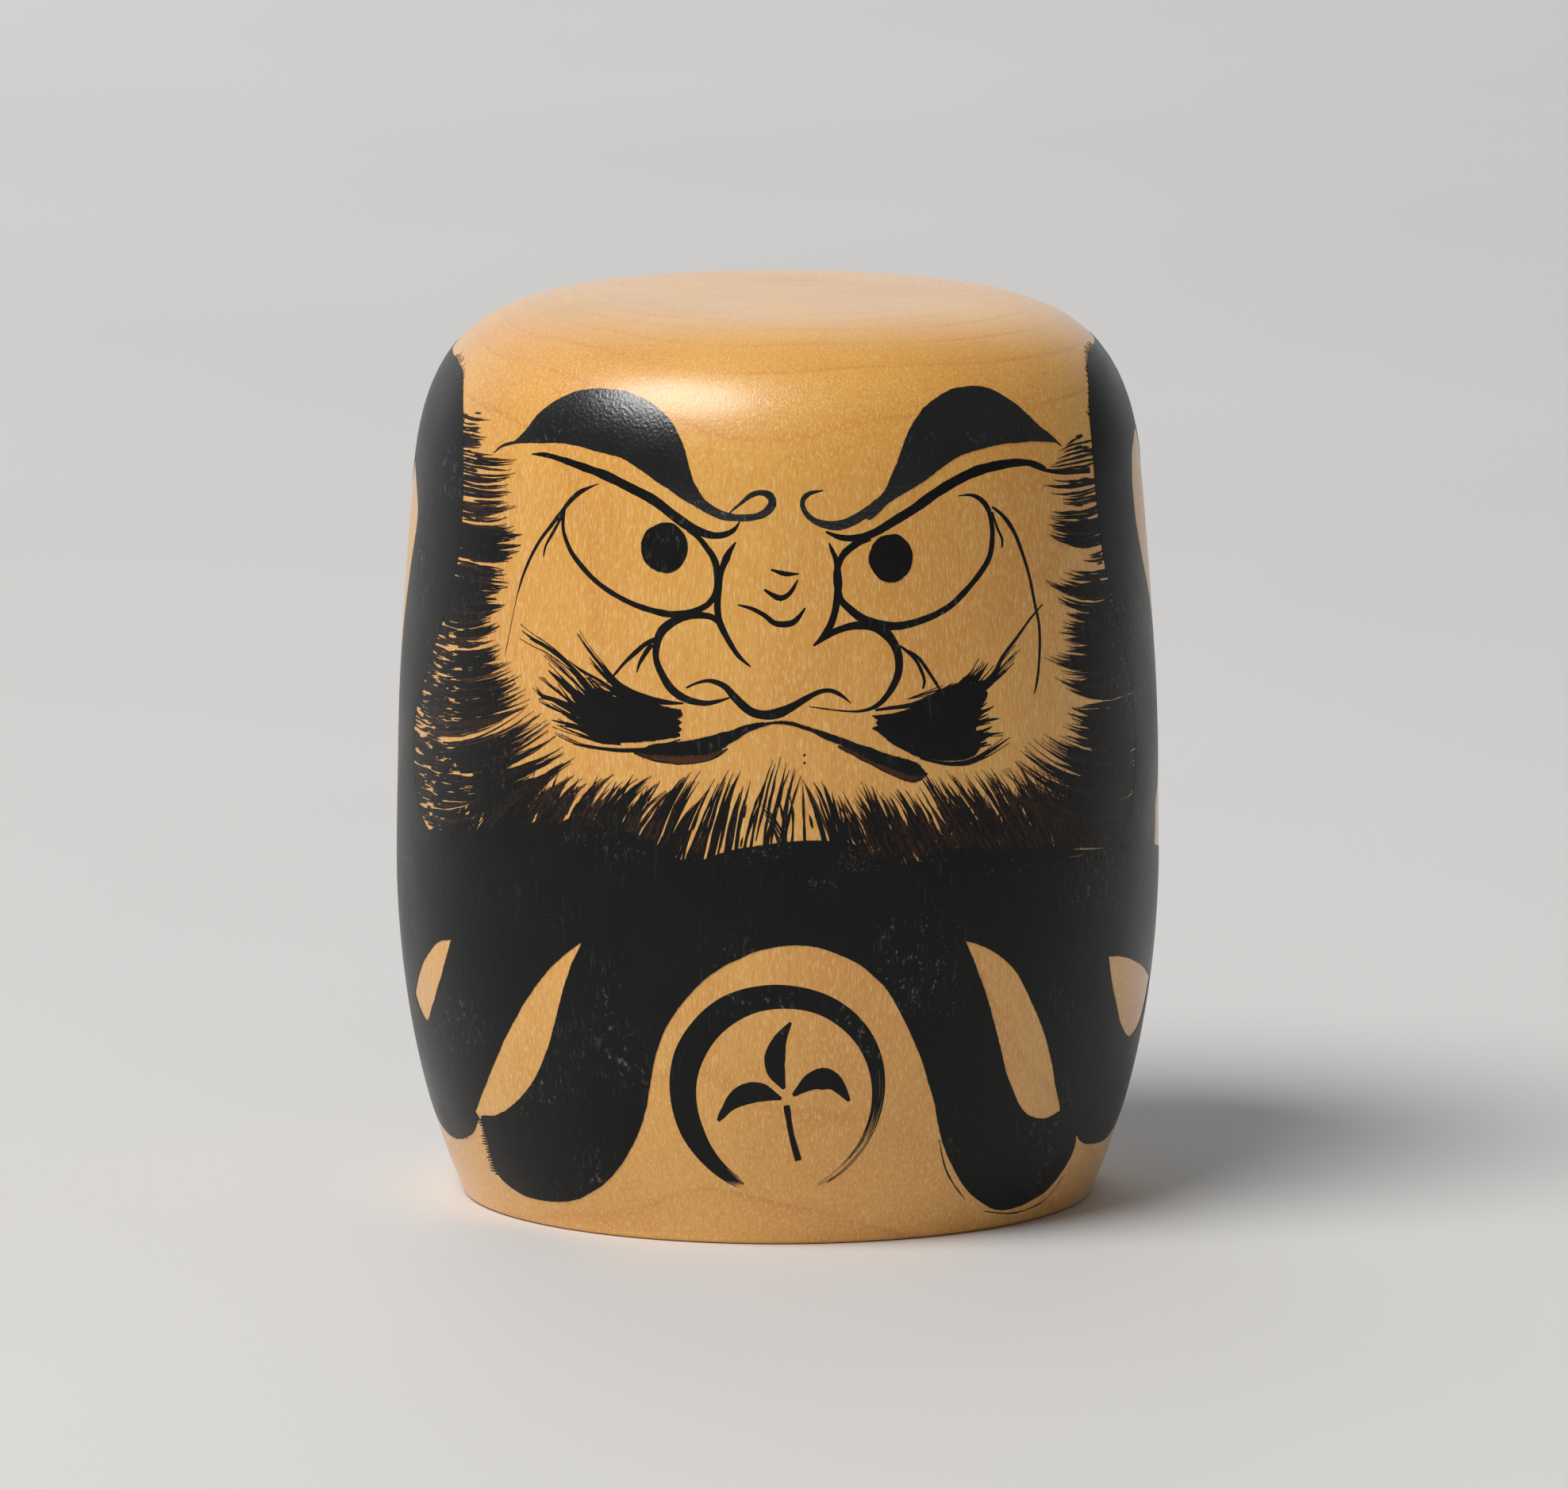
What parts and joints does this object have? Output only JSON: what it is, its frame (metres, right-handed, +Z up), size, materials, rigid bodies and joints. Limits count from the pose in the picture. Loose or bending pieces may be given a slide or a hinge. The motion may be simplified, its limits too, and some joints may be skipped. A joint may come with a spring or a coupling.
{
  "type": "turned wooden daruma doll",
  "caption": "Squat lathe-turned wooden daruma doll on a flat foot, with a scowling face, hair fringe, robe and chest ornament brushed on in black ink.",
  "frame": {"origin": "centre of the flat foot, on the surface that the doll stands on", "axes": "+Z up along the turning axis, the face looks along -Y, +X to the viewer's right"},
  "size_m": [0.0906, 0.0908, 0.107],
  "materials": {
    "waxed_wood": "pale honey-coloured turned wood under a satin wax polish",
    "black_ink": "satin black brushed ink, waxed over, with fine scuffs"
  },
  "bodies": {
    "root": {"wood_body": "waxed_wood", "ink_beard": "black_ink", "ink_brow_left": "black_ink", "ink_brow_right": "black_ink", "ink_cheek_fold_left": "black_ink", "ink_cheek_fold_right": "black_ink", "ink_emblem_ring": "black_ink", "ink_eye_left": "black_ink", "ink_eye_right": "black_ink", "ink_eyelid_left": "black_ink", "ink_eyelid_right": "black_ink", "ink_hair_left": "black_ink", "ink_hair_right": "black_ink", "ink_lip_line": "black_ink", "ink_moustache_left": "black_ink", "ink_moustache_right": "black_ink", "ink_mouth": "black_ink", "ink_nose_bridge_left": "black_ink", "ink_nose_bridge_right": "black_ink", "ink_nose_wing_left": "black_ink", "ink_nose_wing_right": "black_ink", "ink_nose_wrinkle_bottom": "black_ink", "ink_nose_wrinkle_middle": "black_ink", "ink_nose_wrinkle_top": "black_ink", "ink_pupil_left": "black_ink", "ink_pupil_right": "black_ink", "ink_robe": "black_ink", "ink_sprig_leaf_left": "black_ink", "ink_sprig_leaf_right": "black_ink", "ink_sprig_leaf_top": "black_ink", "ink_sprig_stem": "black_ink", "ink_temple_fold_right": "black_ink", "ink_temple_line_left": "black_ink", "ink_temple_line_right": "black_ink"}
  },
  "joints": []
}
